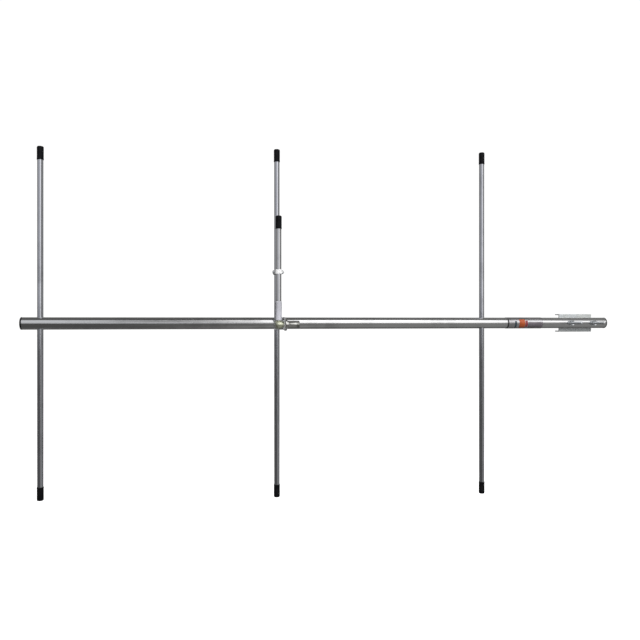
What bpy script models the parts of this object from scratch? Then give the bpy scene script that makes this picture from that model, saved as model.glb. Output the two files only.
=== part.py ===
"""Three-element yagi antenna with a gamma match and a U-bolt mast clamp.

Frame: the origin is on the mast's axis at the height of the boom's centre. +Z is up, along the mast
and the elements. The boom runs along X, with the mast end at +X and the front of the antenna at -X.
The boom lies in front of the mast, on its -Y side. Lengths are in metres.
"""

import math

import bmesh
import bpy

# Driving dimensions
GAP = 0.0003  # kept between pieces that touch

BOOM_RADIUS = 0.015
BOOM_WALL = 0.002
BOOM_FRONT_X = -1.4887
BOOM_REAR_X = 0.0801
BOOM_CAP_FLANGE = 0.0042
BOOM_CAP_RADIUS = 0.0153
BOOM_CAP_WALL = 0.0018
BOOM_CAP_PLUG = 0.020

MAST_RADIUS = 0.0254
MAST_TO_BOOM_BACK = 0.038
BOOM_Y = -MAST_TO_BOOM_BACK - BOOM_RADIUS

ELEMENT_RADIUS = 0.007
ELEMENT_WALL = 0.0015
ELEMENTS = {  # name: (place along the boom, length over the caps)
    "director": (-1.4482, 0.853),
    "driven": (-0.8746, 0.901),
    "reflector": (-0.3010, 0.947),
}
CAP_LENGTH = 0.033
CAP_RADIUS = 0.008
CAP_END = 0.0025  # thickness of a cap's closed end

# Screws: head radius, head height, shank radius, length under the head
LOCK_SCREW = (0.0042, 0.0028, 0.0020, 0.0105)
STRAP_SCREW = (0.0050, 0.0036, 0.0025, 0.0262)
FEED_SCREW = (0.0036, 0.0016, 0.0019, 0.0055)
FLANGE_SCREW = (0.0017, 0.0012, 0.0014, 0.0106)
LOCK_SCREW_HOLE = 0.0023
FEED_SCREW_HOLE = 0.0022
FLANGE_SCREW_HOLE = 0.0018

GAMMA_X = ELEMENTS["driven"][0]
GAMMA_SPACING = 0.032  # from the driven element's axis to the gamma tube's
GAMMA_Y = BOOM_Y - GAMMA_SPACING
GAMMA_TUBE_Z = (0.020, 0.2715)
GAMMA_CAP_Z = (0.240, 0.274)
GAMMA_ROD_RADIUS = 0.003
GAMMA_ROD_Z = (0.001, 0.225)
GAMMA_INSULATOR_RADIUS = 0.0052
GAMMA_INSULATOR_Z = (0.0115, 0.226)
SLEEVE_RADIUS = 0.0083
SLEEVE_Z = (0.0073, 0.0556)
SLEEVE_FLOOR = 0.0035

STRAP_Z = 0.131
STRAP_HEIGHT = 0.011
STRAP_RIM = 0.0023  # thickness of the strap outside a tube
STRAP_SCREW_HOLE = 0.0028
STRAP_NUT = (0.008, 0.004)  # across flats, thickness

FEED_Z = -0.0035  # height of the connector's axis
FEED_RADIUS = 0.0105
FEED_START_X = GAMMA_X - 0.0074
FEED_END_X = GAMMA_X + 0.0119
BRACKET_X = GAMMA_X + 0.0130  # front-facing side of the bracket's upright plate
BRACKET_SHEET = 0.002
BRACKET_HEIGHT = 0.032
BRACKET_FRONT_Y = GAMMA_Y - 0.0155
BRACKET_FOOT = 0.024
CONNECTOR_HOLE = 0.0085
GASKET_THICKNESS = 0.0012
CONNECTOR_FLANGE_RADIUS = 0.0155
CONNECTOR_FLANGE = 0.0032  # thickness
CONNECTOR_BARREL_RADIUS = 0.0100
CONNECTOR_NECK_RADIUS = 0.0109
CONNECTOR_BORE = 0.0079
CONNECTOR_END_X = GAMMA_X + 0.053
INSULATOR_RECESS = 0.0015  # from the barrel's end back to the insulator's face
CONTACT_RADIUS = 0.0026
CONTACT_SHANK_RADIUS = 0.0015
CONTACT_SHANK = 0.006  # length of the shank inside the feed body
PIN_HOLE_RADIUS = 0.0019
PIN_HOLE_DEPTH = 0.012
FLANGE_NUT = (0.0042, 0.0022)  # across flats, thickness
FLANGE_SCREW_CIRCLE = 0.0128  # from the connector's axis to each flange screw's

SADDLE_LENGTH = 0.1046
SADDLE_HEIGHT = 0.051
SADDLE_DEPTH = 0.022
SADDLE_SHEET = 0.003
NOTCH_SLOPE = math.radians(35.0)
NOTCH_TOOTH = 0.0024  # pitch of the teeth along X
NOTCH_TOOTH_DEPTH = 0.0008

BOLT_RADIUS = 0.004
BOLT_LEG_X = 0.0355
BOLT_TIP_Y = -0.122
BOLT_HOLE_RADIUS = 0.0046
WASHER_RADIUS = 0.008
WASHER_THICKNESS = 0.0016
SPRING_WASHER_RADIUS = 0.0066
SPRING_WASHER_THICKNESS = 0.002
SPRING_WASHER_SPLIT = 8.0  # half the angle of its cut, in degrees
NUT_ACROSS_FLATS = 0.013
NUT_THICKNESS = 0.0065

LABEL_X = (-0.229, -0.121)
LABEL_THICKNESS = 0.0003
LABEL_HALF_ANGLE = 100.0  # in degrees, each way from the front

ROUND_STEPS = 24
BOOM_STEPS = 40
SMALL_STEPS = 12

COLLECTION = "yagi_antenna"
CUTTER_COLLECTION = "cutters"


# Scene, materials and small helpers
def clear_scene():
    """Removes every object, so the file holds only the antenna."""
    for scene_object in list(bpy.data.objects):
        bpy.data.objects.remove(scene_object, do_unlink=True)


def new_collection(name):
    collection = bpy.data.collections.new(name)
    bpy.context.scene.collection.children.link(collection)
    return collection


def new_material(name, colour, roughness, metallic):
    material = bpy.data.materials.new(name)
    material.use_nodes = True
    shader = material.node_tree.nodes["Principled BSDF"]
    shader.inputs["Base Color"].default_value = (*colour, 1.0)
    shader.inputs["Roughness"].default_value = roughness
    shader.inputs["Metallic"].default_value = metallic
    return material


clear_scene()
PARTS = new_collection(COLLECTION)
CUTTERS = new_collection(CUTTER_COLLECTION)

ALUMINIUM = new_material("aluminium", (0.72, 0.73, 0.75), 0.30, 1.0)
STRAP_METAL = new_material("strap_metal", (0.90, 0.90, 0.90), 0.40, 1.0)
ZINC = new_material("zinc_plate", (0.66, 0.67, 0.68), 0.35, 1.0)
BRASS = new_material("brass", (0.52, 0.51, 0.38), 0.35, 1.0)
NICKEL = new_material("nickel", (0.55, 0.55, 0.53), 0.25, 1.0)
BLACK_VINYL = new_material("black_vinyl", (0.02, 0.02, 0.02), 0.45, 0.0)
RUBBER = new_material("rubber", (0.05, 0.05, 0.045), 0.70, 0.0)
GREY_PLASTIC = new_material("grey_plastic", (0.55, 0.55, 0.58), 0.50, 0.0)
WHITE_PLASTIC = new_material("white_plastic", (0.85, 0.85, 0.83), 0.40, 0.0)
LABEL_FILM = new_material("label_film", (0.55, 0.53, 0.54), 0.45, 0.0)


def link(new_object, material=None):
    """Files a piece under the antenna, or under the cutters when it has no material."""
    if material is None:
        CUTTERS.objects.link(new_object)
        new_object.hide_render = True
        new_object.display_type = "WIRE"
    else:
        PARTS.objects.link(new_object)
        new_object.data.materials.append(material)
    return new_object


def turn_along(new_object, axis):
    """Turns an object whose own axis is Z so that it lies along the given axis."""
    if axis == "X":
        new_object.rotation_euler = (0.0, math.pi / 2, 0.0)
    elif axis == "Y":
        new_object.rotation_euler = (-math.pi / 2, 0.0, 0.0)


def turned(name, outline, location, material, axis="Z", steps=ROUND_STEPS, closed=True):
    """Turns an outline of (radius, height) points into a round piece.

    The outline runs down the outer side first. A closed one makes a ring, and an open one starts and
    ends on the axis.
    """
    mesh = bpy.data.meshes.new(name)
    bm = bmesh.new()
    points = [bm.verts.new((radius, 0.0, height)) for radius, height in outline]
    for first, second in zip(points, points[1:]):
        bm.edges.new((first, second))
    if closed:
        bm.edges.new((points[-1], points[0]))
    bm.to_mesh(mesh)
    bm.free()
    new_object = bpy.data.objects.new(name, mesh)
    screw = new_object.modifiers.new("turn", "SCREW")
    screw.steps = steps
    screw.render_steps = steps
    screw.use_merge_vertices = True
    screw.merge_threshold = 0.00001
    screw.use_smooth_shade = True
    turn_along(new_object, axis)
    new_object.location = location
    return link(new_object, material)


def ring(name, outer, inner, span, location, material, axis="Z", steps=ROUND_STEPS):
    """A tube or washer between two heights along its axis, measured from its location."""
    low, high = span
    outline = [(outer, high), (outer, low), (inner, low), (inner, high)]
    return turned(name, outline, location, material, axis, steps)


def rod_mesh(name, radius, length, sides=SMALL_STEPS):
    """A solid cylinder about Z, centred on its origin."""
    mesh = bpy.data.meshes.new(name)
    bm = bmesh.new()
    bmesh.ops.create_cone(
        bm, cap_ends=True, segments=sides, radius1=radius, radius2=radius, depth=length
    )
    bm.to_mesh(mesh)
    bm.free()
    mesh.shade_smooth()
    mesh.set_sharp_from_angle(angle=math.radians(40.0))
    return mesh


def rod(name, radius, length, location, material=None, axis="Z", sides=SMALL_STEPS):
    new_object = bpy.data.objects.new(name, rod_mesh(name, radius, length, sides))
    turn_along(new_object, axis)
    new_object.location = location
    return link(new_object, material)


def box(name, low, high, material=None):
    """A block between two corners."""
    mesh = bpy.data.meshes.new(name)
    bm = bmesh.new()
    bmesh.ops.create_cube(bm, size=1.0)
    size = [top - bottom for bottom, top in zip(low, high)]
    bmesh.ops.scale(bm, vec=size, verts=bm.verts)
    bm.to_mesh(mesh)
    bm.free()
    new_object = bpy.data.objects.new(name, mesh)
    new_object.location = [(bottom + top) / 2 for bottom, top in zip(low, high)]
    return link(new_object, material)


def combine(target, other, operation):
    """Adds a Boolean with another object, which is filed with the cutters."""
    modifier = target.modifiers.new(other.name, "BOOLEAN")
    modifier.operation = operation
    modifier.solver = "EXACT"
    modifier.object = other


def cut(target, *cutters):
    for cutter in cutters:
        combine(target, cutter, "DIFFERENCE")


def join(target, *others):
    for other in others:
        combine(target, other, "UNION")


def outline_plate(name, outlines, thickness, location, material=None, axis="Z"):
    """A flat plate: the first outline is its edge and the others are holes in it."""
    curve = bpy.data.curves.new(name, "CURVE")
    curve.dimensions = "2D"
    curve.fill_mode = "BOTH"
    curve.extrude = thickness / 2
    for outline in outlines:
        spline = curve.splines.new("POLY")
        spline.points.add(len(outline) - 1)
        for point, (x, y) in zip(spline.points, outline):
            point.co = (x, y, 0.0, 1.0)
        spline.use_cyclic_u = True
    drawn = bpy.data.objects.new(name + "_drawn", curve)
    PARTS.objects.link(drawn)
    evaluated = drawn.evaluated_get(bpy.context.evaluated_depsgraph_get())
    mesh = bpy.data.meshes.new_from_object(evaluated)
    bpy.data.objects.remove(drawn, do_unlink=True)
    bm = bmesh.new()
    bm.from_mesh(mesh)
    bmesh.ops.remove_doubles(bm, verts=bm.verts, dist=0.00001)
    if len(outlines) == 1:
        bmesh.ops.dissolve_limit(bm, angle_limit=0.001, verts=bm.verts, edges=bm.edges)
    bmesh.ops.recalc_face_normals(bm, faces=bm.faces)
    bm.to_mesh(mesh)
    bm.free()
    mesh.name = name
    plate = bpy.data.objects.new(name, mesh)
    turn_along(plate, axis)
    plate.location = location
    return link(plate, material)


def arc(centre, radius, start_degrees, end_degrees, count):
    """Points along an arc in a plan view, ends included."""
    points = []
    for index in range(count + 1):
        angle = math.radians(start_degrees + (end_degrees - start_degrees) * index / count)
        x = centre[0] + radius * math.cos(angle)
        y = centre[1] + radius * math.sin(angle)
        points.append((x, y))
    return points


def circle(radius, count=SMALL_STEPS):
    return arc((0.0, 0.0), radius, 0.0, 360.0, count)[:-1]


def hexagon(across_flats):
    return circle(across_flats / math.sqrt(3.0), 6)


# The boom
def make_boom():
    middle = (BOOM_FRONT_X + BOOM_REAR_X) / 2
    half = (BOOM_REAR_X - BOOM_FRONT_X) / 2
    boom = ring(
        "boom_tube",
        BOOM_RADIUS,
        BOOM_RADIUS - BOOM_WALL,
        (-half, half),
        (middle, BOOM_Y, 0.0),
        ALUMINIUM,
        "X",
        BOOM_STEPS,
    )
    through = 3 * BOOM_RADIUS
    for name, (x, _) in ELEMENTS.items():
        hole = ELEMENT_RADIUS + GAP
        cut(boom, rod(f"cut_boom_{name}", hole, through, (x, BOOM_Y, 0.0), sides=20))
        back = BOOM_Y + BOOM_RADIUS
        cut(boom, rod(f"cut_lock_{name}", LOCK_SCREW_HOLE, 0.008, (x, back, 0.0), axis="Y"))
    for side in (-1, 1):
        place = (side * BOLT_LEG_X, BOOM_Y, 0.0)
        cut(boom, rod(f"cut_boom_leg_{side}", BOLT_HOLE_RADIUS, through, place, axis="Y"))
    for index, x in enumerate(feed_screw_places()):
        front = BOOM_Y - BOOM_RADIUS
        place = (x, front, FEED_Z)
        cut(boom, rod(f"cut_boom_feed_{index}", FEED_SCREW_HOLE, 0.010, place, axis="Y"))


def make_boom_cap(name, end_x, outward):
    """A plug cap: a domed flange over the tube's end, and a hollow plug inside it."""
    rim = BOOM_CAP_RADIUS
    plug = BOOM_RADIUS - BOOM_WALL - GAP
    flange = BOOM_CAP_FLANGE
    outline = [
        (0.0, flange),
        (rim * 0.74, flange),
        (rim * 0.94, flange * 0.78),
        (rim, flange * 0.42),
        (rim, GAP),
        (plug, GAP),
        (plug, -BOOM_CAP_PLUG),
        (plug - BOOM_CAP_WALL, -BOOM_CAP_PLUG),
        (plug - BOOM_CAP_WALL, -BOOM_CAP_WALL),
        (0.0, -BOOM_CAP_WALL),
    ]
    cap = turned(name, outline, (end_x, BOOM_Y, 0.0), BLACK_VINYL, "X", closed=False)
    if outward < 0:
        cap.rotation_euler = (0.0, -math.pi / 2, 0.0)


# The elements
def make_cap(name, radius, tube, end_z, low_z, place, upward=1):
    """A vinyl cap over a tube's end, with a rounded closed end. Heights are along upward."""
    hollow = tube + GAP
    outline = [
        (0.0, end_z),
        (radius - 0.0025, end_z),
        (radius - 0.0008, end_z - 0.0008),
        (radius, end_z - 0.0026),
        (radius, low_z),
        (hollow, low_z),
        (hollow, end_z - CAP_END),
        (0.0, end_z - CAP_END),
    ]
    cap = turned(name, outline, place, BLACK_VINYL, closed=False)
    if upward < 0:
        cap.rotation_euler = (math.pi, 0.0, 0.0)


def make_element(name, x, length):
    place = (x, BOOM_Y, 0.0)
    end = length / 2
    tube_end = end - CAP_END - GAP
    tube = ring(
        f"{name}_tube",
        ELEMENT_RADIUS,
        ELEMENT_RADIUS - ELEMENT_WALL,
        (-tube_end, tube_end),
        place,
        ALUMINIUM,
    )
    back = (x, BOOM_Y + ELEMENT_RADIUS, 0.0)
    cut(tube, rod(f"cut_{name}", LOCK_SCREW_HOLE, 0.006, back, axis="Y"))
    make_cap(f"{name}_cap_top", CAP_RADIUS, ELEMENT_RADIUS, end, end - CAP_LENGTH, place)
    make_cap(
        f"{name}_cap_bottom", CAP_RADIUS, ELEMENT_RADIUS, end, end - CAP_LENGTH, place, -1
    )


def screw(name, sizes, place, axis, way=1):
    """A domed screw. Its place is under its head, and it points down its own axis."""
    head_radius, head_height, shank_radius, length = sizes
    outline = [
        (0.0, head_height),
        (head_radius * 0.62, head_height),
        (head_radius * 0.92, head_height * 0.62),
        (head_radius, head_height * 0.15),
        (head_radius, 0.0),
        (shank_radius, 0.0),
        (shank_radius, -length),
        (0.0, -length),
    ]
    new_object = turned(name, outline, place, ZINC, axis, SMALL_STEPS, closed=False)
    if way < 0 and axis == "Y":
        new_object.rotation_euler = (math.pi / 2, 0.0, 0.0)
    elif way < 0:
        new_object.rotation_euler = (0.0, -math.pi / 2, 0.0)


def make_lock_screws():
    """The screws on the boom's far side that hold each element in its hole."""
    head_seat = BOOM_Y + BOOM_RADIUS + GAP
    for name, (x, _) in ELEMENTS.items():
        place = (x, head_seat, 0.0)
        screw(f"{name}_lock_screw", LOCK_SCREW, place, "Y")


# The gamma match
def make_gamma():
    place = (GAMMA_X, GAMMA_Y, 0.0)
    inner = ELEMENT_RADIUS - ELEMENT_WALL
    ring("gamma_tube", ELEMENT_RADIUS, inner, GAMMA_TUBE_Z, place, ALUMINIUM)
    low, high = GAMMA_CAP_Z
    make_cap("gamma_end_cap", CAP_RADIUS, ELEMENT_RADIUS, high, low, place)
    low, high = GAMMA_ROD_Z
    rod_place = (GAMMA_X, GAMMA_Y, (low + high) / 2)
    rod("gamma_rod", GAMMA_ROD_RADIUS, high - low, rod_place, ALUMINIUM)
    bore = GAMMA_ROD_RADIUS + GAP
    ring(
        "gamma_insulator", GAMMA_INSULATOR_RADIUS, bore, GAMMA_INSULATOR_Z, place, WHITE_PLASTIC
    )


def make_sleeve():
    """The pale guide that the gamma tube slides in, standing on the feed body."""
    low, high = SLEEVE_Z
    bore = ELEMENT_RADIUS + GAP
    rod_hole = GAMMA_ROD_RADIUS + GAP
    outline = [
        (bore, high),
        (SLEEVE_RADIUS - 0.0004, high),
        (SLEEVE_RADIUS, high - 0.0008),
        (SLEEVE_RADIUS, low),
        (rod_hole, low),
        (rod_hole, low + SLEEVE_FLOOR),
        (bore, low + SLEEVE_FLOOR),
    ]
    turned("gamma_sleeve", outline, (GAMMA_X, GAMMA_Y, 0.0), GREY_PLASTIC)


def strap_outline(side):
    """Half of the strap in plan, about the gamma tube's axis: a flat side and two round grooves."""
    rim = ELEMENT_RADIUS + GAP + STRAP_RIM
    groove = ELEMENT_RADIUS + GAP
    split = GAP
    lean = math.degrees(math.asin(split / groove))
    far = (0.0, GAMMA_SPACING)
    near = (0.0, 0.0)
    points = arc(near, rim, -90.0 + lean * 0.8, 0.0, 8)
    points += arc(far, rim, 0.0, 90.0 - lean * 0.8, 8)
    points += arc(far, groove, 90.0 - lean, -90.0 + lean, 12)
    points += arc(near, groove, 90.0 - lean, -90.0 + lean, 12)
    return [(side * x, y) for x, y in points]


def make_strap():
    """The shorting strap: two halves round both tubes, drawn together by one screw between them."""
    place = (GAMMA_X, GAMMA_Y, STRAP_Z)
    middle_y = GAMMA_Y + GAMMA_SPACING / 2
    for name, side in (("strap_left", -1), ("strap_right", 1)):
        half = outline_plate(name, [strap_outline(side)], STRAP_HEIGHT, place, STRAP_METAL)
        hole_place = (GAMMA_X, middle_y, STRAP_Z)
        cut(half, rod(f"cut_{name}", STRAP_SCREW_HOLE, 0.040, hole_place, axis="X"))
    seat = ELEMENT_RADIUS + GAP + STRAP_RIM + GAP
    head_place = (GAMMA_X - seat, middle_y, STRAP_Z)
    screw("strap_screw", STRAP_SCREW, head_place, "X", -1)
    across_flats, thickness = STRAP_NUT
    nut_place = (GAMMA_X + seat + thickness / 2, middle_y, STRAP_Z)
    outlines = [hexagon(across_flats), circle(STRAP_SCREW_HOLE)]
    outline_plate("strap_nut", outlines, thickness, nut_place, ZINC, "X")


# The feed point
def feed_screw_places():
    """Places along the boom of the two screws in the bracket's foot."""
    return (GAMMA_X - 0.0030, GAMMA_X + 0.0080)


def make_feed_body():
    """The brass block that joins the gamma rod to the connector's centre contact."""
    length = FEED_END_X - FEED_START_X
    outline = [
        (0.0, length),
        (0.0075, length),
        (0.0080, length - 0.0008),
        (0.0080, length - 0.0040),
        (FEED_RADIUS - 0.0006, length - 0.0042),
        (FEED_RADIUS, length - 0.0052),
        (FEED_RADIUS, 0.0048),
        (FEED_RADIUS - 0.0012, 0.0022),
        (FEED_RADIUS - 0.0036, 0.0),
        (0.0, 0.0),
    ]
    place = (FEED_START_X, GAMMA_Y, FEED_Z)
    body = turned("feed_body", outline, place, BRASS, "X", closed=False)
    boss_top = SLEEVE_Z[0] - GAP
    boss = rod("join_feed_boss", 0.0072, boss_top - FEED_Z, (GAMMA_X, GAMMA_Y, 0.0), sides=20)
    boss.location.z = (boss_top + FEED_Z) / 2
    join(body, boss)
    rod_bottom = GAMMA_ROD_Z[0] - GAP
    socket = rod("cut_feed_rod", GAMMA_ROD_RADIUS + GAP, 0.020, (GAMMA_X, GAMMA_Y, 0.0))
    socket.location.z = rod_bottom + 0.010
    cut(body, socket)
    bottom_x = FEED_END_X - CONTACT_SHANK - GAP
    hole_depth = 0.012
    hole_place = (bottom_x + hole_depth / 2, GAMMA_Y, FEED_Z)
    hole = CONTACT_SHANK_RADIUS + GAP
    cut(body, rod("cut_feed_contact", hole, hole_depth, hole_place, axis="X"))


def flange_screw_angles():
    return [math.radians(45.0 + 90.0 * index) for index in range(4)]


def flange_screw_place(x, angle):
    y = GAMMA_Y + FLANGE_SCREW_CIRCLE * math.cos(angle)
    z = FEED_Z + FLANGE_SCREW_CIRCLE * math.sin(angle)
    return (x, y, z)


def make_bracket():
    """An angle of sheet metal: an upright plate for the connector and a foot on the boom."""
    boom_front = BOOM_Y - BOOM_RADIUS - GAP
    middle_z = FEED_Z + 0.003
    plate_back_x = BRACKET_X + BRACKET_SHEET
    low = (plate_back_x - BRACKET_FOOT, BRACKET_FRONT_Y, middle_z - BRACKET_HEIGHT / 2)
    high = (plate_back_x, boom_front, middle_z + BRACKET_HEIGHT / 2)
    bracket = box("feed_bracket", low, high, ALUMINIUM)
    corner_low = (low[0] - 0.01, low[1] - 0.01, low[2] - 0.01)
    corner_high = (BRACKET_X, high[1] - BRACKET_SHEET, high[2] + 0.01)
    cut(bracket, box("cut_bracket_corner", corner_low, corner_high))
    hole_place = (BRACKET_X, GAMMA_Y, FEED_Z)
    cut(bracket, rod("cut_bracket_bore", CONNECTOR_HOLE, 0.010, hole_place, axis="X", sides=24))
    for index, angle in enumerate(flange_screw_angles()):
        place = flange_screw_place(BRACKET_X, angle)
        cut(bracket, rod(f"cut_bracket_{index}", FLANGE_SCREW_HOLE, 0.010, place, axis="X"))
    for index, screw_x in enumerate(feed_screw_places()):
        place = (screw_x, boom_front, FEED_Z)
        cut(bracket, rod(f"cut_foot_{index}", FEED_SCREW_HOLE, 0.010, place, axis="Y"))


def make_feed_screws():
    """The two low-headed screws that fix the bracket's foot to the boom."""
    head_seat = BOOM_Y - BOOM_RADIUS - GAP - BRACKET_SHEET - GAP
    for index, x in enumerate(feed_screw_places(), 1):
        place = (x, head_seat, FEED_Z)
        screw(f"feed_screw_{index}", FEED_SCREW, place, "Y", -1)


def make_contact():
    """The socket's centre contact: a shank in the feed body and a hollow end for the plug's pin."""
    start_x = FEED_END_X - CONTACT_SHANK
    top = CONNECTOR_END_X - INSULATOR_RECESS - start_x
    shoulder = CONTACT_SHANK + 2 * GAP
    outline = [
        (0.0, top - PIN_HOLE_DEPTH),
        (PIN_HOLE_RADIUS, top - PIN_HOLE_DEPTH),
        (PIN_HOLE_RADIUS, top),
        (CONTACT_RADIUS, top),
        (CONTACT_RADIUS, shoulder),
        (CONTACT_SHANK_RADIUS, shoulder),
        (CONTACT_SHANK_RADIUS, 0.0),
        (0.0, 0.0),
    ]
    place = (start_x, GAMMA_Y, FEED_Z)
    turned("connector_contact", outline, place, BRASS, "X", SMALL_STEPS, closed=False)


def make_connector():
    """A round-flanged coaxial socket with its gasket and insulator."""
    seat_x = BRACKET_X + BRACKET_SHEET + GAP
    gasket_place = (seat_x, GAMMA_Y, FEED_Z)
    gasket = ring(
        "connector_gasket",
        CONNECTOR_FLANGE_RADIUS,
        CONNECTOR_HOLE,
        (0.0, GASKET_THICKNESS),
        gasket_place,
        RUBBER,
        "X",
    )
    flange_x = seat_x + GASKET_THICKNESS + GAP
    length = CONNECTOR_END_X - flange_x
    groove = CONNECTOR_BARREL_RADIUS - 0.0006
    outline = [
        (groove - 0.0008, length),
        (groove, length),
        (CONNECTOR_BARREL_RADIUS, length - 0.0008),
        (CONNECTOR_BARREL_RADIUS, length - 0.0065),
        (groove, length - 0.0071),
        (groove, length - 0.0085),
        (CONNECTOR_BARREL_RADIUS, length - 0.0091),
        (CONNECTOR_BARREL_RADIUS, CONNECTOR_FLANGE + 0.0045),
        (CONNECTOR_NECK_RADIUS, CONNECTOR_FLANGE + 0.0040),
        (CONNECTOR_NECK_RADIUS, CONNECTOR_FLANGE),
        (CONNECTOR_FLANGE_RADIUS, CONNECTOR_FLANGE),
        (CONNECTOR_FLANGE_RADIUS, 0.0),
        (CONNECTOR_BORE, 0.0),
        (CONNECTOR_BORE, length - 0.0010),
    ]
    shell_place = (flange_x, GAMMA_Y, FEED_Z)
    shell = turned("connector_shell", outline, shell_place, NICKEL, "X")
    ring(
        "connector_insulator",
        CONNECTOR_BORE - GAP,
        CONTACT_RADIUS + GAP,
        (FEED_END_X + GAP - flange_x, length - INSULATOR_RECESS),
        shell_place,
        WHITE_PLASTIC,
        "X",
    )
    for index, angle in enumerate(flange_screw_angles(), 1):
        hole_place = flange_screw_place(flange_x, angle)
        cut(gasket, rod(f"cut_gasket_{index}", FLANGE_SCREW_HOLE, 0.01, hole_place, axis="X"))
        cut(shell, rod(f"cut_flange_{index}", FLANGE_SCREW_HOLE, 0.01, hole_place, axis="X"))
        head_place = flange_screw_place(flange_x + CONNECTOR_FLANGE + GAP, angle)
        screw(f"flange_screw_{index}", FLANGE_SCREW, head_place, "X")
        across_flats, thickness = FLANGE_NUT
        nut_place = flange_screw_place(BRACKET_X - GAP - thickness / 2, angle)
        bore = FLANGE_SCREW[2] + GAP
        outlines = [hexagon(across_flats), circle(bore)]
        outline_plate(f"flange_nut_{index}", outlines, thickness, nut_place, ZINC, "X")


# The mast clamp
def notch_outline():
    """The V in the saddle's flanges in plan, open towards the mast, with saw teeth on its sides."""
    web_front = -MAST_TO_BOOM_BACK + GAP
    mouth_y = web_front + SADDLE_DEPTH
    apex_y = -MAST_RADIUS / math.cos(NOTCH_SLOPE)
    slope = math.tan(NOTCH_SLOPE)
    teeth = int((mouth_y - apex_y) / slope / NOTCH_TOOTH)
    right = [(0.5 * NOTCH_TOOTH, apex_y + 0.5 * NOTCH_TOOTH * slope)]
    for index in range(1, teeth + 1):
        x = (index + 0.5) * NOTCH_TOOTH
        y = apex_y + x * slope
        right.append((x - 0.6 * NOTCH_TOOTH, y - 0.1 * NOTCH_TOOTH - NOTCH_TOOTH_DEPTH))
        right.append((x, y))
    open_y = mouth_y + 0.02
    right.append((right[-1][0] + 0.002, open_y))
    left = [(-x, y) for x, y in reversed(right)]
    return right + left


def make_saddle():
    """A channel whose web lies on the boom and whose flanges grip the mast."""
    web_front = -MAST_TO_BOOM_BACK + GAP
    half_length = SADDLE_LENGTH / 2
    half_height = SADDLE_HEIGHT / 2
    low = (-half_length, web_front, -half_height)
    high = (half_length, web_front + SADDLE_DEPTH, half_height)
    saddle = box("mast_saddle", low, high, ZINC)
    bevel = saddle.modifiers.new("bends", "BEVEL")
    bevel.width = 0.0015
    bevel.segments = 2
    bevel.limit_method = "ANGLE"
    inner_low = (low[0] - 0.01, low[1] + SADDLE_SHEET, low[2] + SADDLE_SHEET)
    inner_high = (high[0] + 0.01, high[1] + 0.01, high[2] - SADDLE_SHEET)
    cut(saddle, box("cut_saddle_channel", inner_low, inner_high))
    cut(saddle, outline_plate("cut_saddle_notch", [notch_outline()], 0.08, (0.0, 0.0, 0.0)))
    for side in (-1, 1):
        place = (side * BOLT_LEG_X, web_front, 0.0)
        cut(saddle, rod(f"cut_saddle_leg_{side}", BOLT_HOLE_RADIUS, 0.012, place, axis="Y"))


def bolt_path():
    """The U-bolt's centre line in plan: two legs and a half circle round the mast's back."""
    bow_y = MAST_RADIUS + GAP - (BOLT_LEG_X - BOLT_RADIUS)
    points = [(BOLT_LEG_X, BOLT_TIP_Y)]
    points += arc((0.0, bow_y), BOLT_LEG_X, 0.0, 180.0, 20)
    points.append((-BOLT_LEG_X, BOLT_TIP_Y))
    return points


def make_u_bolt():
    curve = bpy.data.curves.new("u_bolt", "CURVE")
    curve.dimensions = "3D"
    curve.bevel_depth = BOLT_RADIUS
    curve.bevel_resolution = 2
    curve.use_fill_caps = True
    path = bolt_path()
    spline = curve.splines.new("POLY")
    spline.points.add(len(path) - 1)
    for point, (x, y) in zip(spline.points, path):
        point.co = (x, y, 0.0, 1.0)
    link(bpy.data.objects.new("u_bolt", curve), ZINC)


def make_clamp_fasteners():
    """A flat washer, a spring washer and a nut on each leg, in front of the boom."""
    bore = BOLT_RADIUS + GAP
    washer_y = BOOM_Y - BOOM_RADIUS - GAP - WASHER_THICKNESS / 2
    spring_y = washer_y - GAP - (WASHER_THICKNESS + SPRING_WASHER_THICKNESS) / 2
    nut_y = spring_y - GAP - (SPRING_WASHER_THICKNESS + NUT_THICKNESS) / 2
    split = SPRING_WASHER_SPLIT
    split_ring = arc((0.0, 0.0), SPRING_WASHER_RADIUS, split, 360.0 - split, 16)
    split_ring += arc((0.0, 0.0), bore, 360.0 - split, split, 16)
    pieces = {
        "clamp_washer": (washer_y, WASHER_THICKNESS, [circle(WASHER_RADIUS, 20), circle(bore)]),
        "clamp_spring_washer": (spring_y, SPRING_WASHER_THICKNESS, [split_ring]),
        "clamp_nut": (nut_y, NUT_THICKNESS, [hexagon(NUT_ACROSS_FLATS), circle(bore)]),
    }
    for end, side in (("front", -1), ("rear", 1)):
        for name, (y, thickness, outlines) in pieces.items():
            place = (side * BOLT_LEG_X, y, 0.0)
            outline_plate(f"{name}_{end}", outlines, thickness, place, ZINC, "Y")


# The label
def make_label():
    """A printed film wrapped round the boom's front."""
    inner = BOOM_RADIUS + GAP
    start = 180.0 - LABEL_HALF_ANGLE
    end = 180.0 + LABEL_HALF_ANGLE
    steps = 20
    outline = arc((0.0, 0.0), inner + LABEL_THICKNESS, start, end, steps)
    outline += arc((0.0, 0.0), inner, end, start, steps)
    length = LABEL_X[1] - LABEL_X[0]
    place = ((LABEL_X[0] + LABEL_X[1]) / 2, BOOM_Y, 0.0)
    label = outline_plate("boom_label", [outline], length, place, LABEL_FILM)
    label.rotation_euler = (math.pi / 2, 0.0, math.pi / 2)


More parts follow.
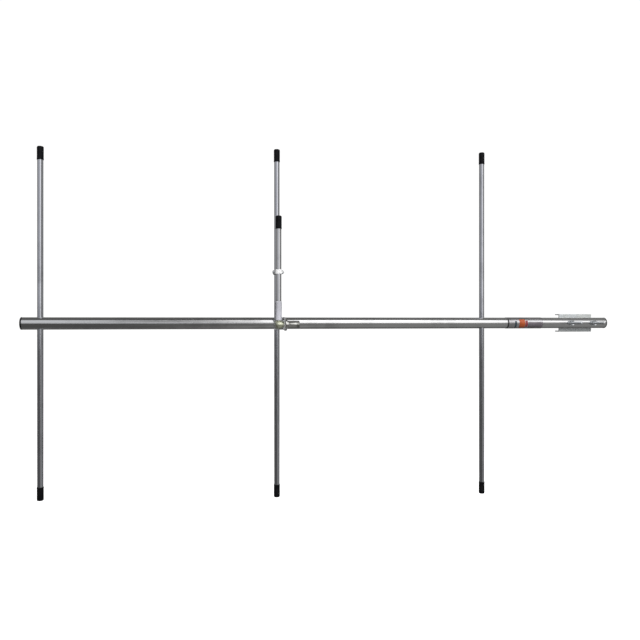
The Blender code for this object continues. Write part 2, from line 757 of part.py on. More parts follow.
def main():
    make_boom()
    make_boom_cap("boom_front_cap", BOOM_FRONT_X, -1)
    make_boom_cap("boom_rear_cap", BOOM_REAR_X, 1)
    for name, (x, length) in ELEMENTS.items():
        make_element(name, x, length)
    make_lock_screws()
    make_gamma()
    make_sleeve()
    make_strap()
    make_feed_body()
    make_bracket()
    make_feed_screws()
    make_connector()
    make_contact()
    make_saddle()
    make_u_bolt()
    make_clamp_fasteners()
    make_label()


main()
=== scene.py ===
"""Looks of the three-element yagi antenna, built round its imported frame.

Frame: the origin is on the mast's axis at the height of the boom's centre. +Z is up, +X runs along the
boom to the mast end, and the camera stands on the -Y side. Lengths are in metres.
"""

import math

import bmesh
import bpy
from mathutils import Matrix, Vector


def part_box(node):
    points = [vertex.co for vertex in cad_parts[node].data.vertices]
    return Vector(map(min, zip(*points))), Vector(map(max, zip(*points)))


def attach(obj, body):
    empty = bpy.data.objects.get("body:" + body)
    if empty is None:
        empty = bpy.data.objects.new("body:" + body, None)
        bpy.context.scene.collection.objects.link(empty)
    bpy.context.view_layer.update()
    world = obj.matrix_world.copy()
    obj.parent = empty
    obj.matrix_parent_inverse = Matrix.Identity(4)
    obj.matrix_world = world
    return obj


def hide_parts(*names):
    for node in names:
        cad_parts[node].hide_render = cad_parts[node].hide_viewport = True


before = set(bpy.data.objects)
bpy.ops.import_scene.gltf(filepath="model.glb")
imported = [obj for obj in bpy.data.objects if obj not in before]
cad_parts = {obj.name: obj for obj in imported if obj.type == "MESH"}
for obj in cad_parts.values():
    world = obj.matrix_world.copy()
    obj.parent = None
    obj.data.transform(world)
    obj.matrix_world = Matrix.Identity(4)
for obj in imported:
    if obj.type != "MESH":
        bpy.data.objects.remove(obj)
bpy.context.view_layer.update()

# Camera: a level view from the front, a little towards the director
CAMERA_PLACE = (-1.111, -1.699, 0.0083)
CAMERA_YAW = math.radians(-12.03)
LENS_MM = 36.0
SENSOR_MM = 36.0

# Fine measures that the frame's boxes don't give
BOOM_WALL = 0.002
TUBE_WALL = 0.0015
CAP_WALL = 0.0007
FIT_GAP = 0.0003
BOLT_HOLE_RADIUS = 0.0046
BOLT_BORE = 0.0043  # radius of the bores of the U-bolt's washers and nuts
STRAP_NUT_BORE = 0.0028
FLANGE_NUT_BORE = 0.0017
FLANGE_HOLE_RADIUS = 0.0018

# Screws: head height, head radius and shank radius
LOCK_SCREW = (0.0028, 0.0042, 0.0020)
STRAP_SCREW = (0.0036, 0.0050, 0.0025)
FEED_SCREW = (0.0016, 0.0036, 0.0019)
FLANGE_SCREW = (0.0012, 0.0017, 0.0014)

# Threads of the U-bolt and of the socket
THREAD_PITCH = 0.00125
THREAD_DEPTH = 0.00062
THREAD_LENGTH = 0.068
THREAD_RUN_OUT = 0.003
CONNECTOR_PITCH = 0.00106
CONNECTOR_THREAD_DEPTH = 0.00045

# How finely round shapes are divided
BOOM_SIDES = 96
ROUND_SIDES = 72
BODY_SIDES = 64
CAP_SIDES = 56
NUT_SIDES = 48
SMALL_SIDES = 40
BOLT_SIDES = 28

ALONG_X = (1.0, 0.0, 0.0)
ALONG_Y = (0.0, 1.0, 0.0)
ALONG_Z = (0.0, 0.0, 1.0)


# Shapes
def middle_of(node):
    low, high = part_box(node)
    return (low + high) / 2


def size_of(node):
    low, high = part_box(node)
    return high - low


def shade(mesh, angle_degrees=35.0):
    mesh.shade_smooth()
    mesh.set_sharp_from_angle(angle=math.radians(angle_degrees))


def add_piece(name, mesh, body, material, nodes):
    """Files a finished mesh as a piece that rides on a body and stands for some frame nodes."""
    piece = bpy.data.objects.new(name, mesh)
    bpy.context.scene.collection.objects.link(piece)
    mesh.materials.clear()
    mesh.materials.append(material)
    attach(piece, body)
    if nodes:
        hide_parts(*nodes)
    return piece


def mesh_of(bm, name):
    """Turns a finished bmesh into a mesh, with its faces pointing outwards."""
    bmesh.ops.recalc_face_normals(bm, faces=bm.faces)
    mesh = bpy.data.meshes.new(name)
    bm.to_mesh(mesh)
    bm.free()
    return mesh


def join_rings(bm, rings, closed=False):
    """Fills the bands between rings of points, where a ring of one point is a tip."""
    pairs = list(zip(rings, rings[1:]))
    if closed:
        pairs.append((rings[-1], rings[0]))
    for upper, lower in pairs:
        sides = max(len(upper), len(lower))
        if sides == 1:
            continue
        for index in range(sides):
            after = (index + 1) % sides
            if len(upper) == 1:
                bm.faces.new((upper[0], lower[index], lower[after]))
            elif len(lower) == 1:
                bm.faces.new((upper[index], lower[0], upper[after]))
            else:
                bm.faces.new((upper[index], lower[index], lower[after], upper[after]))


def axis_frame(axis):
    """Two directions across an axis and the axis itself, right-handed."""
    along = Vector(axis).normalized()
    side = Vector((0.0, 0.0, 1.0)) if abs(along.z) < 0.9 else Vector((1.0, 0.0, 0.0))
    first = side.cross(along).normalized()
    second = along.cross(first)
    return first, second, along


def lathe(name, outline, place, axis=ALONG_Z, sides=ROUND_SIDES, closed=False, sharp=35.0):
    """Turns an outline of (radius, height) points about an axis through a place.

    The outline starts on top and runs down the outer side. A closed one makes a ring.
    """
    first, second, along = axis_frame(axis)
    origin = Vector(place)
    bm = bmesh.new()
    rings = []
    for radius, height in outline:
        if radius < 1e-7:
            rings.append([bm.verts.new(origin + along * height)])
            continue
        ring = []
        for index in range(sides):
            angle = 2.0 * math.pi * index / sides
            offset = first * math.cos(angle) + second * math.sin(angle)
            ring.append(bm.verts.new(origin + along * height + offset * radius))
        rings.append(ring)
    join_rings(bm, rings, closed)
    mesh = mesh_of(bm, name)
    shade(mesh, sharp)
    return mesh


def fillet(points, radius, steps=4):
    """Rounds the corners of an open outline, ends excepted."""
    rounded = [points[0]]
    for before, corner, after in zip(points, points[1:], points[2:]):
        corner_v = Vector(corner)
        back = Vector(before) - corner_v
        ahead = Vector(after) - corner_v
        reach = min(radius, back.length * 0.45, ahead.length * 0.45)
        start = corner_v + back.normalized() * reach
        end = corner_v + ahead.normalized() * reach
        for index in range(steps + 1):
            t = index / steps
            point = start * (1 - t) ** 2 + corner_v * 2 * t * (1 - t) + end * t ** 2
            rounded.append((point.x, point.y))
    rounded.append(points[-1])
    return rounded


def boolean(mesh, cutter_meshes, operation="DIFFERENCE"):
    """Cuts meshes out of a mesh, or joins them to it, by way of helper objects that are removed."""
    helper = bpy.data.objects.new("helper", mesh)
    bpy.context.scene.collection.objects.link(helper)
    cutters = []
    for cutter_mesh in cutter_meshes:
        cutter = bpy.data.objects.new(cutter_mesh.name, cutter_mesh)
        bpy.context.scene.collection.objects.link(cutter)
        cut = helper.modifiers.new(cutter.name, "BOOLEAN")
        cut.operation = operation
        cut.solver = "EXACT"
        cut.object = cutter
        cutters.append(cutter)
    depsgraph = bpy.context.evaluated_depsgraph_get()
    result = bpy.data.meshes.new_from_object(helper.evaluated_get(depsgraph))
    for used in [helper, *cutters]:
        bpy.data.objects.remove(used, do_unlink=True)
    return result


def with_bars(mesh, bars, operation="DIFFERENCE"):
    """Cuts round bars, given as (place, axis, radius, length), out of a mesh, or joins them to it."""
    cutter_meshes = []
    for index, (place, axis, radius, length) in enumerate(bars):
        outline = [(0.0, length / 2), (radius, length / 2), (radius, -length / 2), (0.0, -length / 2)]
        cutter_meshes.append(lathe(f"cutter_{index}", outline, place, axis, SMALL_SIDES))
    return boolean(mesh, cutter_meshes, operation)


def round_normals(mesh, place, axis):
    """Gives the faces that lie on a cylinder the cylinder's own normals, so cut tubes shade cleanly."""
    origin = Vector(place)
    along = Vector(axis).normalized()
    shade(mesh, 30.0)
    normals = [Vector(corner.vector) for corner in mesh.corner_normals]
    for face in mesh.polygons:
        for loop_index in face.loop_indices:
            point = mesh.vertices[mesh.loops[loop_index].vertex_index].co - origin
            radial = point - along * point.dot(along)
            if radial.length < 1e-6:
                continue
            radial.normalize()
            facing = radial.dot(face.normal)
            if abs(facing) > 0.97:
                normals[loop_index] = radial * math.copysign(1.0, facing)
    mesh.normals_split_custom_set(normals)


def whole_faced(node):
    """A frame node's shape, welded, with the triangles of each flat face made one face."""
    bm = bmesh.new()
    bm.from_mesh(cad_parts[node].data)
    bmesh.ops.remove_doubles(bm, verts=bm.verts, dist=2e-6)
    bmesh.ops.dissolve_limit(bm, angle_limit=math.radians(1.0), verts=bm.verts, edges=bm.edges)
    return bm


def refined(name, node, body, material, width, sharp=30.0):
    """A frame node's own shape with its edges rounded."""
    bm = whole_faced(node)
    edges = [
        edge
        for edge in bm.edges
        if len(edge.link_faces) == 2 and edge.calc_face_angle(0.0) > math.radians(sharp)
    ]
    bmesh.ops.bevel(
        bm, geom=edges, offset=width, segments=2, profile=0.6, affect="EDGES", clamp_overlap=True
    )
    mesh = bpy.data.meshes.new(name)
    bm.to_mesh(mesh)
    bm.free()
    shade(mesh, 38.0)
    piece = add_piece(name, mesh, body, material, [node])
    weighted = piece.modifiers.new("weighted", "WEIGHTED_NORMAL")
    weighted.keep_sharp = True
    return piece


# Materials
def node_setup(name):
    material = bpy.data.materials.new(name)
    material.use_nodes = True
    nodes = material.node_tree.nodes
    return material, nodes, material.node_tree.links, nodes["Principled BSDF"]


def scaled_noise(nodes, links, scale, detail, stretch=(1.0, 1.0, 1.0)):
    """Noise in the object's own coordinates, stretched along its axes."""
    place = nodes.new("ShaderNodeTexCoord")
    mapping = nodes.new("ShaderNodeMapping")
    mapping.inputs["Scale"].default_value = stretch
    noise = nodes.new("ShaderNodeTexNoise")
    noise.inputs["Scale"].default_value = scale
    noise.inputs["Detail"].default_value = detail
    links.new(place.outputs["Object"], mapping.inputs["Vector"])
    links.new(mapping.outputs["Vector"], noise.inputs["Vector"])
    return noise.outputs["Fac"]


def spread(nodes, links, value, low, high, start=0.3, end=0.7):
    """Maps a value that runs from start to end smoothly onto low to high, and holds it there."""
    ramp = nodes.new("ShaderNodeMapRange")
    ramp.interpolation_type = "SMOOTHSTEP"
    ramp.inputs["From Min"].default_value = start
    ramp.inputs["From Max"].default_value = end
    ramp.inputs["To Min"].default_value = low
    ramp.inputs["To Max"].default_value = high
    links.new(value, ramp.inputs["Value"])
    return ramp.outputs["Result"]


def blend_colour(nodes, links, factor, first, second):
    mix = nodes.new("ShaderNodeMix")
    mix.data_type = "RGBA"
    links.new(factor, mix.inputs["Factor"])
    for socket, colour in ((mix.inputs[6], first), (mix.inputs[7], second)):
        if isinstance(colour, tuple):
            socket.default_value = (*colour, 1.0)
        else:
            links.new(colour, socket)
    return mix.outputs[2]


def bump(nodes, links, height, strength, distance, before=None):
    node = nodes.new("ShaderNodeBump")
    node.inputs["Strength"].default_value = strength
    node.inputs["Distance"].default_value = distance
    links.new(height, node.inputs["Height"])
    if before is not None:
        links.new(before, node.inputs["Normal"])
    return node.outputs["Normal"]


def metal(name, light, dark, roughness, stretch, grain=900.0, dull=None, metallic=1.0):
    """Metal with drawn grain along one way, cloudy oxide, faint dents and a few dark specks."""
    material, nodes, links, shader = node_setup(name)
    streaks = scaled_noise(nodes, links, grain, 2.0, stretch)
    clouds = scaled_noise(nodes, links, 22.0, 4.0)
    specks = scaled_noise(nodes, links, 420.0, 2.0)
    streak_shift = spread(nodes, links, streaks, 0.0, 1.0)
    base = blend_colour(nodes, links, streak_shift, light, dark)
    oxide = spread(nodes, links, clouds, 0.0, 0.55, 0.45, 0.72)
    dull_colour = dull if dull is not None else tuple(0.72 * value for value in dark)
    base = blend_colour(nodes, links, oxide, base, dull_colour)
    dots = spread(nodes, links, specks, 0.0, 0.5, 0.68, 0.76)
    base = blend_colour(nodes, links, dots, base, tuple(0.45 * value for value in dark))
    links.new(base, shader.inputs["Base Color"])
    low, high = roughness
    links.new(spread(nodes, links, clouds, low, high, 0.3, 0.7), shader.inputs["Roughness"])
    shader.inputs["Metallic"].default_value = metallic
    grain_normal = bump(nodes, links, streaks, 0.20, 0.000006)
    dents = bump(nodes, links, clouds, 0.20, 0.00005, grain_normal)
    links.new(dents, shader.inputs["Normal"])
    return material


def polymer(name, light, dark, roughness, scale=240.0, specular=0.5, metallic=0.0):
    """Moulded or dipped plastic: mottled colour, handling marks and a fine pebbled skin; the strap also
    uses it, for its painted highlight.
    """
    material, nodes, links, shader = node_setup(name)
    skin_depth = 0.00006
    skin = scaled_noise(nodes, links, scale * 6.0, 3.0)
    marks = scaled_noise(nodes, links, scale * 0.35, 4.0)
    factor = spread(nodes, links, marks, 0.0, 1.0, 0.35, 0.7)
    links.new(blend_colour(nodes, links, factor, light, dark), shader.inputs["Base Color"])
    low, high = roughness
    links.new(spread(nodes, links, marks, low, high), shader.inputs["Roughness"])
    shader.inputs["Specular IOR Level"].default_value = specular
    shader.inputs["Metallic"].default_value = metallic
    fine = bump(nodes, links, skin, 0.35, skin_depth)
    links.new(bump(nodes, links, marks, 0.3, skin_depth * 4.0, fine), shader.inputs["Normal"])
    return material


TUBE_ALUMINIUM = metal(
    "drawn_tube", (0.90, 0.91, 0.96), (0.80, 0.81, 0.85), (0.12, 0.20), (1.0, 1.0, 0.012)
)
GAMMA_ALUMINIUM = metal(
    "gamma_tube", (0.96, 0.96, 0.97), (0.88, 0.88, 0.89), (0.06, 0.11), (1.0, 1.0, 0.012)
)
BOOM_ALUMINIUM = metal(
    "drawn_boom", (0.94, 0.94, 0.93), (0.82, 0.82, 0.81), (0.13, 0.21), (0.012, 1.0, 1.0)
)
SHEET_ALUMINIUM = metal(
    "rolled_sheet", (0.96, 0.96, 0.95), (0.84, 0.84, 0.83), (0.34, 0.48), (1.0, 0.05, 1.0)
)
ZINC = metal(
    "zinc_plate", (0.92, 0.94, 0.95), (0.76, 0.79, 0.81), (0.12, 0.22), (1.0, 1.0, 1.0), 260.0,
    dull=(0.60, 0.60, 0.54), metallic=0.85,
)
SADDLE_ZINC = metal(
    "saddle_zinc", (0.72, 0.75, 0.75), (0.58, 0.61, 0.62), (0.22, 0.34), (0.05, 1.0, 1.0), 700.0,
    dull=(0.60, 0.61, 0.55), metallic=0.45,
)
OLIVE_BRASS = metal(
    "olive_brass", (0.86, 0.88, 0.68), (0.62, 0.64, 0.47), (0.20, 0.34), (1.0, 1.0, 1.0), 300.0,
    dull=(0.34, 0.35, 0.24), metallic=0.85,
)
DARK_NICKEL = metal(
    "dark_nickel", (0.84, 0.84, 0.80), (0.66, 0.66, 0.61), (0.08, 0.16), (1.0, 1.0, 1.0), 500.0
)
BLACK_VINYL = polymer(
    "black_vinyl", (0.003, 0.003, 0.004), (0.007, 0.007, 0.008), (0.42, 0.6), specular=0.12
)
GASKET_RUBBER = polymer("gasket_rubber", (0.030, 0.031, 0.022), (0.05, 0.05, 0.038), (0.5, 0.75))
SLEEVE_PLASTIC = polymer(
    "sleeve_plastic", (0.52, 0.52, 0.56), (0.45, 0.45, 0.49), (0.40, 0.55), 120.0
)
WHITE_INSULATOR = polymer(
    "white_insulator", (0.82, 0.82, 0.79), (0.72, 0.72, 0.69), (0.35, 0.5), 160.0
)
# The strap is aluminium. Its near-white, nearly non-metallic colour is partly the metal's own light
# tone and partly a painted highlight that stands for its full shine.
STRAP_PAINTED_HIGHLIGHT = polymer(
    "strap_painted_highlight", (0.93, 0.93, 0.93), (0.86, 0.86, 0.86), (0.30, 0.42), 200.0, metallic=0.1
)


# The boom
def make_boom():
    low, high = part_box("boom_tube")
    centre = (low + high) / 2
    radius = (high.z - low.z) / 2
    half = (high.x - low.x) / 2
    inner = radius - BOOM_WALL
    chamfer = 0.0004
    outline = [
        (inner, half),
        (radius - chamfer, half),
        (radius, half - chamfer),
        (radius, -half + chamfer),
        (radius - chamfer, -half),
        (inner, -half),
    ]
    mesh = lathe("boom", outline, centre, ALONG_X, BOOM_SIDES, closed=True)
    holes = []
    for name in ("director", "driven", "reflector"):
        tube = middle_of(f"{name}_tube")
        tube_radius = size_of(f"{name}_tube").x / 2
        holes.append(((tube.x, centre.y, 0.0), ALONG_Z, tube_radius + FIT_GAP, 3 * radius))
    for node in ("clamp_nut_front", "clamp_nut_rear"):
        leg = middle_of(node)
        holes.append(((leg.x, centre.y, leg.z), ALONG_Y, BOLT_HOLE_RADIUS, 3 * radius))
    mesh = with_bars(mesh, holes)
    round_normals(mesh, centre, ALONG_X)
    add_piece("boom", mesh, "antenna", BOOM_ALUMINIUM, ["boom_tube"])


def make_boom_caps():
    """Plug caps: a domed flange with a rolled rim outside, a ribbed plug inside."""
    boom_low, boom_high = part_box("boom_tube")
    for node, end, way in (
        ("boom_front_cap", boom_low.x, -1.0),
        ("boom_rear_cap", boom_high.x, 1.0),
    ):
        low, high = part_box(node)
        rim = (high.z - low.z) / 2
        flange = end - low.x if way < 0 else high.x - end
        plug = (boom_high.z - boom_low.z) / 2 - BOOM_WALL - FIT_GAP
        hollow = plug - 0.0018
        rib_foot = plug - 0.0008
        depth = 0.020
        outline = [(0.0, flange), (rim * 0.70, flange), (rim * 0.84, flange * 0.93)]
        outline += [(rim * 0.94, flange * 0.76), (rim * 0.985, flange * 0.52)]
        outline += [(rim, flange * 0.30), (rim, FIT_GAP), (plug, FIT_GAP)]
        for rib in range(4):
            start = -0.003 - 0.004 * rib
            outline += [(plug, start), (rib_foot, start - 0.0012), (rib_foot, start - 0.0024)]
        outline += [(plug, -depth), (hollow, -depth), (hollow, -0.0015), (0.0, -0.0015)]
        place = (end, (low.y + high.y) / 2, 0.0)
        mesh = lathe(node + "_fine", fillet(outline, 0.0006), place, (way, 0.0, 0.0), sharp=50.0)
        add_piece(node + "_fine", mesh, "antenna", BLACK_VINYL, [node])


# The elements and their caps
def tube_outline(radius, wall, half):
    chamfer = 0.0003
    return [
        (radius - wall, half),
        (radius - chamfer, half),
        (radius, half - chamfer),
        (radius, -half + chamfer),
        (radius - chamfer, -half),
        (radius - wall, -half),
    ]


def make_tube(name, node, body, material=TUBE_ALUMINIUM):
    low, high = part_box(node)
    radius = (high.x - low.x) / 2
    half = (high.z - low.z) / 2
    mesh = lathe(name, tube_outline(radius, TUBE_WALL, half), (low + high) / 2, closed=True)
    add_piece(name, mesh, body, material, [node])


def make_cap(node, body, way):
    """A dipped vinyl cap: softly rounded end, a slight waist and a beaded lip."""
    low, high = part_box(node)
    radius = (high.x - low.x) / 2
    length = high.z - low.z
    hollow = radius - CAP_WALL
    closed_end = 0.0025
    outline = [
        (0.0, 0.0),
        (radius * 0.45, -0.00008),
        (radius * 0.80, -0.0005),
        (radius * 0.95, -0.0018),
        (radius * 0.985, -0.0040),
        (radius * 0.975, -length * 0.45),
        (radius * 0.975, -length * 0.86),
        (radius, -length * 0.91),
        (radius, -length + 0.0006),
        (radius - 0.0003, -length),
        (hollow, -length),
        (hollow, -closed_end),
        (0.0, -closed_end),
    ]
    place = ((low.x + high.x) / 2, (low.y + high.y) / 2, high.z if way > 0 else low.z)
    outline = fillet(outline, 0.0008)
    mesh = lathe(node + "_fine", outline, place, (0.0, 0.0, float(way)), CAP_SIDES, sharp=60.0)
    add_piece(node + "_fine", mesh, body, BLACK_VINYL, [node])


# Screws and nuts
def make_screw(node, body, axis, sizes):
    """A domed, cross-recessed screw: its head is at the axis's end of the node's box."""
    head_height, head_radius, shank_radius = sizes
    low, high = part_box(node)
    along = Vector(axis)
    middle = (low + high) / 2
    half = abs((high - low).dot(along)) / 2
    seat = middle + along * (half - head_height)
    length = 2 * half - head_height
    outline = [
        (0.0, head_height),
        (head_radius * 0.45, head_height * 0.97),
        (head_radius * 0.78, head_height * 0.78),
        (head_radius * 0.97, head_height * 0.36),
        (head_radius, head_height * 0.12),
        (head_radius, 0.0),
        (shank_radius, 0.0),
        (shank_radius, -length + shank_radius * 0.5),
        (shank_radius * 0.5, -length),
        (0.0, -length),
    ]
    mesh = lathe(node + "_fine", outline, seat, axis, SMALL_SIDES, sharp=50.0)
    first, second, _ = axis_frame(axis)
    recess = seat + along * head_height
    slots = []
    for direction in (first, second):
        across = along.cross(direction)
        corners = []
        for a, b, c in ((i, j, k) for i in (-1, 1) for j in (-1, 1) for k in (-1, 1)):
            offset = direction * (a * head_radius * 0.55) + across * (b * head_radius * 0.11)
            corners.append(recess + offset + along * (c * head_height * 0.55))
        bm = bmesh.new()
        bmesh.ops.convex_hull(bm, input=[bm.verts.new(corner) for corner in corners])
        slots.append(mesh_of(bm, "recess"))
    mesh = boolean(mesh, slots)
    shade(mesh, 40.0)
    add_piece(node + "_fine", mesh, body, ZINC, [node])


def make_nut(node, body, axis, bore):
    """A hexagonal nut with its corners turned off and slightly dished faces, set as the frame's is."""
    low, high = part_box(node)
    along = Vector(axis)
    thickness = abs((high - low).dot(along))
    across = sorted(high - low)
    flats = [value for value in across if abs(value - thickness) > 1e-6][0]
    corner = flats / math.sqrt(3.0)
    centre = (low + high) / 2
    cad = whole_faced(node)
    outer = [v.co - centre for v in cad.verts if (v.co - centre).length > corner * 0.98]
    cad.free()
    first, second, _ = axis_frame(axis)
    start = math.atan2(outer[0].dot(second), outer[0].dot(first))
    face = 0.85914 * corner  # just inside the flats
    turned = 0.93 * corner
    # Each row: its height in thicknesses, its radius, and whether the six flats cut it
    rows = [
        (-0.5, face, False),
        (-0.5, turned, True),
        (-0.36, corner, True),
        (0.36, corner, True),
        (0.5, turned, True),
        (0.5, face, False),
        (0.42, bore, False),
        (-0.42, bore, False),
    ]
    bm = bmesh.new()
    rings = []
    for height, reach, has_flats in rows:
        ring = []
        for index in range(NUT_SIDES):
            turn = 2 * math.pi * index / NUT_SIDES
            angle = start + turn
            sector = (turn + math.pi / 6) % (math.pi / 3) - math.pi / 6
            hexagon = corner * math.cos(math.pi / 6) / math.cos(math.pi / 6 - abs(sector))
            radius = min(hexagon, reach) if has_flats else reach
            offset = first * math.cos(angle) + second * math.sin(angle)
            ring.append(bm.verts.new(centre + along * (height * thickness) + offset * radius))
        rings.append(ring)
    join_rings(bm, rings, closed=True)
    mesh = mesh_of(bm, node + "_fine")
    shade(mesh, 20.0)
    add_piece(node + "_fine", mesh, body, ZINC, [node])


# The gamma match and its strap
def make_gamma_inside():
    """The rod that carries the gamma tube, and the insulating tube round it."""
    low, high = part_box("gamma_rod")
    half = (high.z - low.z) / 2
    rod_radius = (high.x - low.x) / 2
    outline = [
        (0.0, half),
        (rod_radius - 0.0004, half),
        (rod_radius, half - 0.0004),
        (rod_radius, -half),
        (0.0, -half),
    ]
    mesh = lathe("gamma_rod_fine", outline, (low + high) / 2, sides=SMALL_SIDES)
    add_piece("gamma_rod_fine", mesh, "antenna", TUBE_ALUMINIUM, ["gamma_rod"])
    low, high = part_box("gamma_insulator")
    half = (high.z - low.z) / 2
    outline = tube_outline((high.x - low.x) / 2, (high.x - low.x) / 2 - rod_radius - FIT_GAP, half)
    mesh = lathe("gamma_insulator_fine", outline, (low + high) / 2, closed=True)
    add_piece(
        "gamma_insulator_fine", mesh, "antenna", WHITE_INSULATOR, ["gamma_insulator"]
    )


def make_gamma_sleeve():
    """The sleeve: a thin cup with a collar at each end and a hole in its floor for the rod."""
    low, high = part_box("gamma_sleeve")
    radius = (high.x - low.x) / 2
    bore = radius - 0.0010
    waist = radius - 0.00025
    floor_hole = 0.0033
    floor_top = 0.0035
    place = ((low.x + high.x) / 2, (low.y + high.y) / 2, high.z)
    length = high.z - low.z
    outline = [
        (bore, -0.0004),
        (bore + 0.0003, 0.0),
        (radius - 0.0005, 0.0),
        (radius, -0.0007),
        (radius, -0.0040),
        (waist, -0.0046),
        (waist, -length + 0.0070),
        (radius, -length + 0.0062),
        (radius, -length + 0.0006),
        (radius - 0.0005, -length),
        (floor_hole, -length),
        (floor_hole, -length + floor_top),
        (bore, -length + floor_top),
    ]
    mesh = lathe("gamma_sleeve_fine", outline, place, closed=True, sharp=30.0)
    add_piece("gamma_sleeve_fine", mesh, "antenna", SLEEVE_PLASTIC, ["gamma_sleeve"])


def make_gamma():
    make_tube("gamma_outer_tube", "gamma_tube", "gamma_slider", GAMMA_ALUMINIUM)
    make_gamma_inside()
    make_cap("gamma_end_cap", "gamma_slider", 1)
    make_gamma_sleeve()


def make_strap():
    for side in ("left", "right"):
        node = f"strap_{side}"
        # The halves wear the strap's painted highlight: near-white colour in place of the aluminium's
        # shine.
        refined(node + "_fine", node, "strap", STRAP_PAINTED_HIGHLIGHT, 0.0005, 35.0)
    make_screw("strap_screw", "strap", (-1.0, 0.0, 0.0), STRAP_SCREW)
    make_nut("strap_nut", "strap", ALONG_X, STRAP_NUT_BORE)


# The feed point
def make_feed_body():
    """The turned brass block: rounded closed end, a collar at the bracket, a boss under the sleeve."""
    low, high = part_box("feed_body")
    connector = middle_of("connector_shell")
    axis_place = Vector((low.x, connector.y, connector.z))
    length = high.x - low.x
    radius = (high.y - low.y) / 2
    collar = 0.0080
    boss = 0.0072
    rod_depth = 0.020
    contact_depth = 0.012
    contact_bore = 0.0018
    outline = [
        (0.0, length),
        (collar - 0.0005, length),
        (collar, length - 0.0008),
        (collar, length - 0.0040),
        (radius - 0.0006, length - 0.0042),
        (radius, length - 0.0052),
        (radius, 0.0048),
        (radius - 0.0012, 0.0022),
        (radius - 0.0036, 0.0),
        (radius * 0.30, 0.0),
        (radius * 0.26, 0.0006),
        (0.0, 0.0006),
    ]
    mesh = lathe("feed_body_fine", fillet(outline, 0.0006), axis_place, ALONG_X, BODY_SIDES)
    rod = middle_of("gamma_rod")
    rod_radius = size_of("gamma_rod").x / 2
    boss_height = high.z - connector.z
    boss_place = (rod.x, rod.y, connector.z + boss_height / 2)
    mesh = with_bars(mesh, [(boss_place, ALONG_Z, boss, boss_height)], "UNION")
    rod_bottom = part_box("gamma_rod")[0].z - FIT_GAP
    socket_place = (rod.x, rod.y, rod_bottom + rod_depth / 2)
    contact_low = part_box("connector_contact")[0].x - FIT_GAP
    contact_place = (contact_low + contact_depth / 2, connector.y, connector.z)
    holes = [
        (socket_place, ALONG_Z, rod_radius + FIT_GAP, rod_depth),
        (contact_place, ALONG_X, contact_bore, contact_depth),
    ]
    mesh = with_bars(mesh, holes)
    shade(mesh, 32.0)
    add_piece("feed_body_fine", mesh, "antenna", OLIVE_BRASS, ["feed_body"])


def make_shell():
    """The socket's shell: flange, neck, plain barrel, a groove and a finely threaded end."""
    low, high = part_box("connector_shell")
    middle = (low + high) / 2
    length = high.x - low.x
    barrel = 0.0100
    groove = barrel - 0.0006
    neck = 0.0109
    flange = 0.0032
    flange_radius = (high.z - low.z) / 2
    bore = 0.0079
    # Each row: its radius, its height above the flange's back, and its thread's depth
    rows = [(bore, length - 0.0010, 0.0), (groove - 0.0008, length, 0.0), (groove, length, 0.0)]
    top = length - 0.0006
    bottom = length - 0.0066
    rows_per_turn = 12
    count = int((top - bottom) / CONNECTOR_PITCH * rows_per_turn)
    for index in range(count + 1):
        height = top + (bottom - top) * index / count
        fade = min(1.0, 6.0 * (count - index) / count)
        rows.append((barrel, height, CONNECTOR_THREAD_DEPTH * fade))
    rows += [
        (groove, length - 0.0071, 0.0),
        (groove, length - 0.0085, 0.0),
        (barrel - 0.0001, length - 0.0089, 0.0),
        (barrel, length - 0.0092, 0.0),
        (barrel, flange + 0.0047, 0.0),
        (barrel + 0.0002, flange + 0.0044, 0.0),
        (neck - 0.0003, flange + 0.0042, 0.0),
        (neck, flange + 0.0038, 0.0),
        (neck, flange + 0.0003, 0.0),
        (neck + 0.0003, flange, 0.0),
        (flange_radius - 0.0005, flange, 0.0),
        (flange_radius, flange - 0.0005, 0.0),
        (flange_radius, 0.0004, 0.0),
        (flange_radius - 0.0004, 0.0, 0.0),
        (bore, 0.0, 0.0),
    ]
    bm = bmesh.new()
    rings = []
    for radius, height, depth in rows:
        ring = []
        for index in range(ROUND_SIDES):
            angle = 2 * math.pi * index / ROUND_SIDES
            phase = height / CONNECTOR_PITCH - index / ROUND_SIDES
            cut = depth * (0.5 + 0.5 * math.cos(2 * math.pi * phase))
            y = middle.y + (radius - cut) * math.cos(angle)
            z = middle.z + (radius - cut) * math.sin(angle)
            ring.append(bm.verts.new((low.x + height, y, z)))
        rings.append(ring)
    join_rings(bm, rings, closed=True)
    mesh = mesh_of(bm, "connector_shell_fine")
    holes = []
    for index in range(1, 5):
        screw = middle_of(f"flange_screw_{index}")
        holes.append(((low.x, screw.y, screw.z), ALONG_X, FLANGE_HOLE_RADIUS, 0.010))
    mesh = with_bars(mesh, holes)
    shade(mesh, 34.0)
    add_piece("connector_shell_fine", mesh, "antenna", DARK_NICKEL, ["connector_shell"])


def make_gasket():
    low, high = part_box("connector_gasket")
    middle = (low + high) / 2
    radius = (high.z - low.z) / 2
    half = (high.x - low.x) / 2
    bore = 0.0085
    outline = [
        (bore, half),
        (radius - 0.0003, half),
        (radius, half * 0.4),
        (radius, -half * 0.4),
        (radius - 0.0003, -half),
        (bore, -half),
    ]
    mesh = lathe("connector_gasket_fine", outline, middle, ALONG_X, closed=True)
    add_piece(
        "connector_gasket_fine", mesh, "antenna", GASKET_RUBBER, ["connector_gasket"]
    )


